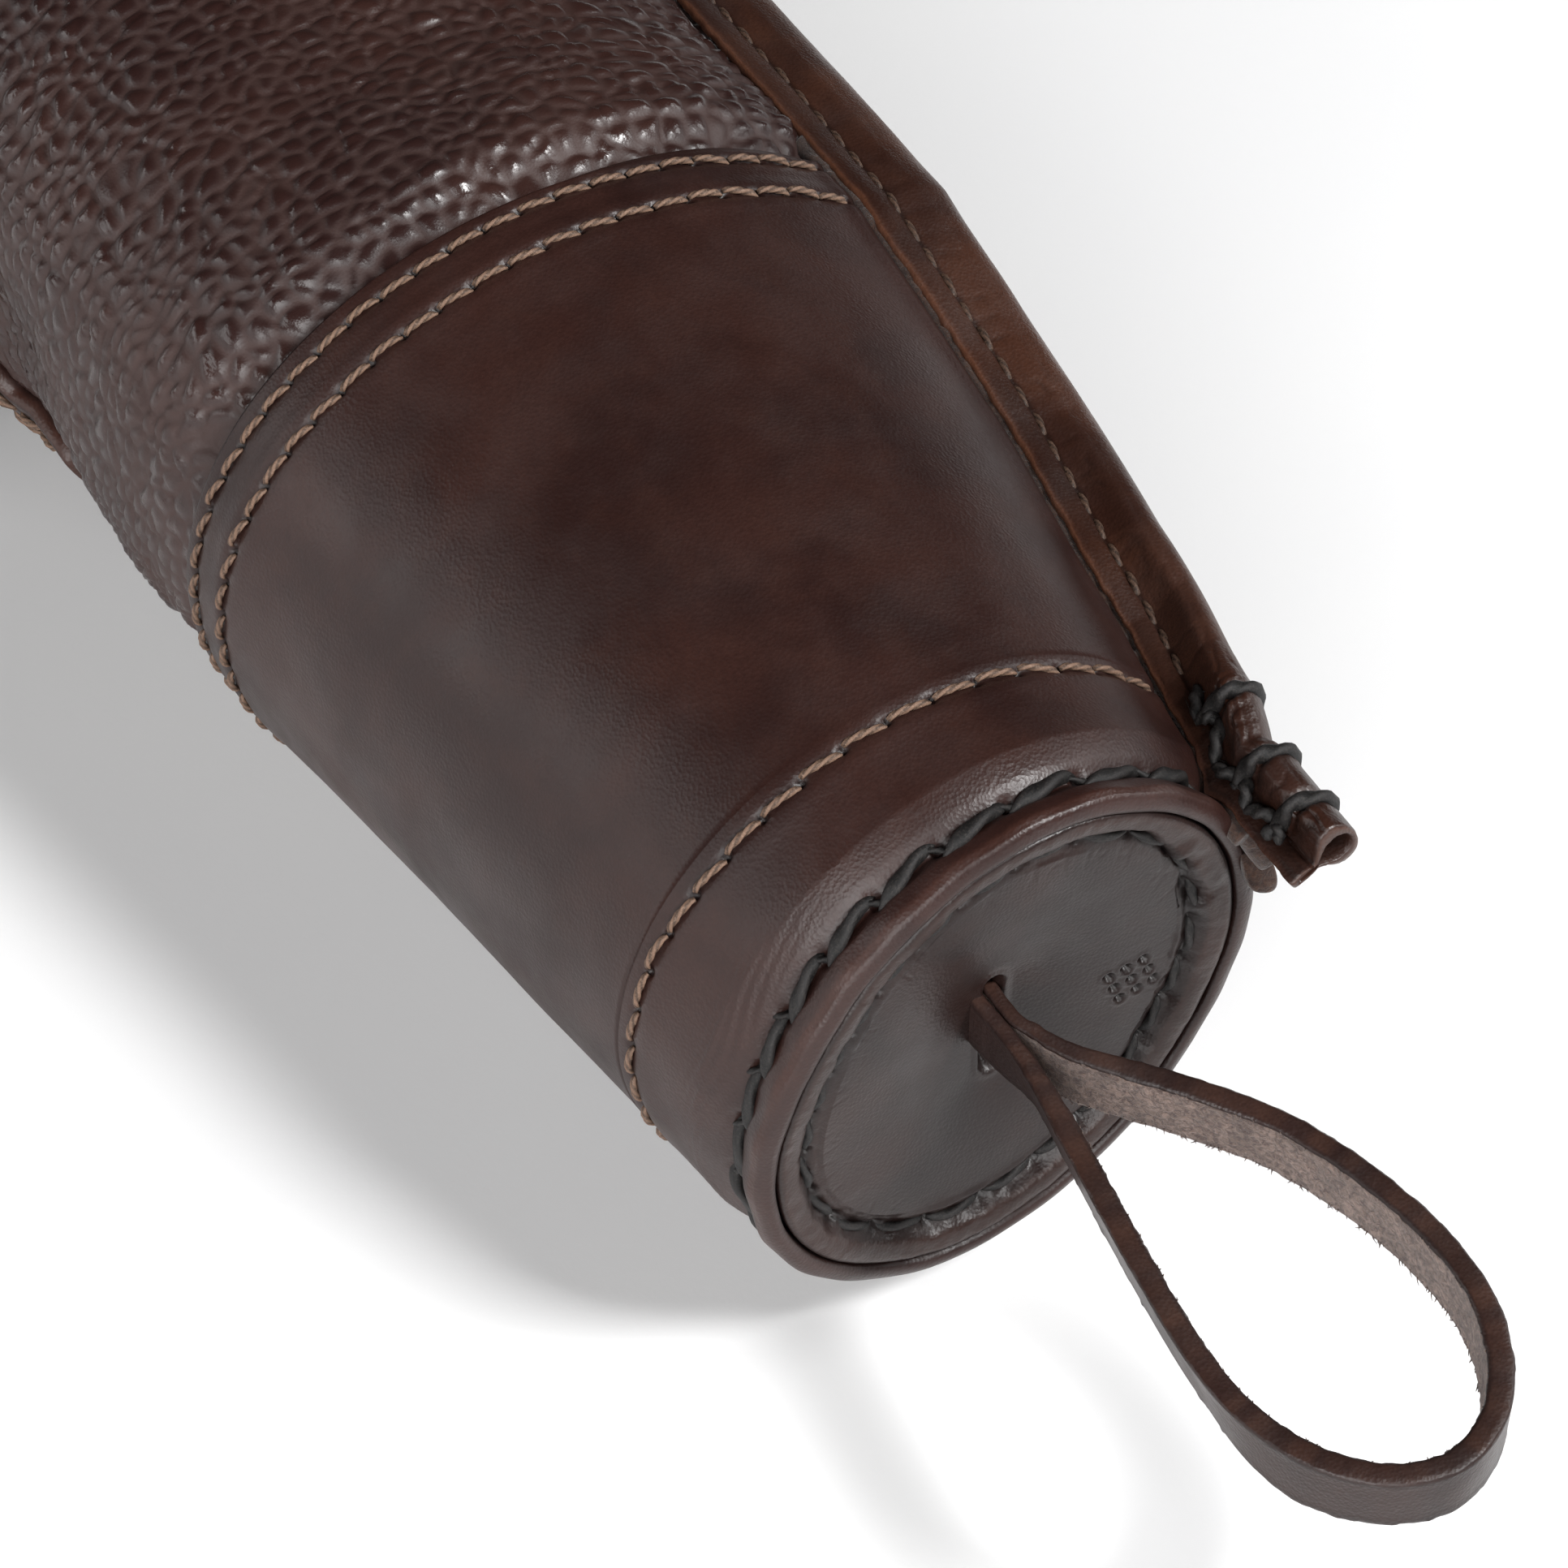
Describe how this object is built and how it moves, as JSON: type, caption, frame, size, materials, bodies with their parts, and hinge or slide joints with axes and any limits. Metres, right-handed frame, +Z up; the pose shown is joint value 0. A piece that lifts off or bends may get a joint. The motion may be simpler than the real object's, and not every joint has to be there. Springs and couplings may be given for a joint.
{
  "type": "brush case",
  "caption": "Tapered leather case for a rolled brush set, lying on its side, with a zip under a storm flap, a hanging loop at the narrow end and a rolled handle.",
  "frame": {"origin": "middle of the flat belly that the case lies on", "axes": "+X along the case towards the hanging loop, +Z up, zip and flap on the +Y side, handle on the -Y side"},
  "size_m": [0.4733, 0.1123, 0.0843],
  "materials": {
    "smooth_leather": "waxed bridle leather, soft broad sheen",
    "pebbled_leather": "tumbled pebble grain, waxy gloss on the pebbles",
    "cap_leather": "fine grain, satin",
    "flap_leather": "warm pull-up leather, satin",
    "strap_leather": "smooth face, burnished cut edges",
    "suede": "flesh side, matt",
    "board": "pressed leather board, matt",
    "linen_thread": "hand-sewn linen, matt",
    "waxed_thread": "waxed, satin",
    "zip_tape": "woven, matt",
    "antique_brass": "antique, satin"
  },
  "bodies": {
    "case": {"end_sleeve": "smooth_leather", "body_panel": "pebbled_leather", "far_sleeve": "smooth_leather", "lining": "suede", "sleeve_stitches": "linen_thread", "end_cap": "cap_leather", "end_cap_board": "board", "end_rim_thread": "waxed_thread", "loop_root": "strap_leather", "loop_washer": "board", "far_cap": "cap_leather", "far_cap_board": "board", "far_rim_thread": "waxed_thread", "zip_tape_upper": "zip_tape", "zip_tape_lower": "zip_tape", "zip_teeth_upper": "antique_brass", "zip_teeth_lower": "antique_brass", "zip_end_stop": "antique_brass", "zip_closed_stop": "antique_brass", "flap_tied_end": "flap_leather", "flap_wraps": "waxed_thread", "handle_patch_front": "smooth_leather", "handle_patch_rear": "smooth_leather", "handle_chape_front": "strap_leather", "handle_chape_rear": "strap_leather", "patch_stitches": "linen_thread"},
    "flap": {"flap_panel": "flap_leather", "flap_stitches": "linen_thread"},
    "slider": {"zip_slider": "antique_brass", "slider_pin": "antique_brass"},
    "puller": {"zip_puller": "antique_brass", "leather_pull": "strap_leather"},
    "loop": {"hanging_loop": "strap_leather"},
    "handle": {"handle_ring_front": "antique_brass", "handle_ring_rear": "antique_brass", "rolled_handle": "strap_leather"}
  },
  "joints": [
    {"name": "zip_slide", "type": "slide", "parent": "case", "child": "slider", "axis": [1, 0, 0], "range_m": [0, 0.24]},
    {"name": "puller_hinge", "type": "hinge", "parent": "slider", "child": "puller", "pos_m": [-0.106, 0.04574, 0.06408], "axis": [0, 0.5299, -0.848], "range_deg": [0, 85]},
    {"name": "flap_hinge", "type": "hinge", "parent": "case", "child": "flap", "pos_m": [0, 0.03881, 0.07272], "axis": [1, 0, 0], "range_deg": [0, 100]},
    {"name": "loop_hinge", "type": "hinge", "parent": "case", "child": "loop", "pos_m": [0.2478, 0, 0.0405], "axis": [0, 0, 1], "range_deg": [-45, 45]},
    {"name": "handle_hinge", "type": "hinge", "parent": "case", "child": "handle", "pos_m": [0, -0.05537, 0.03215], "axis": [-1, 0, 0], "range_deg": [0, 135]}
  ]
}
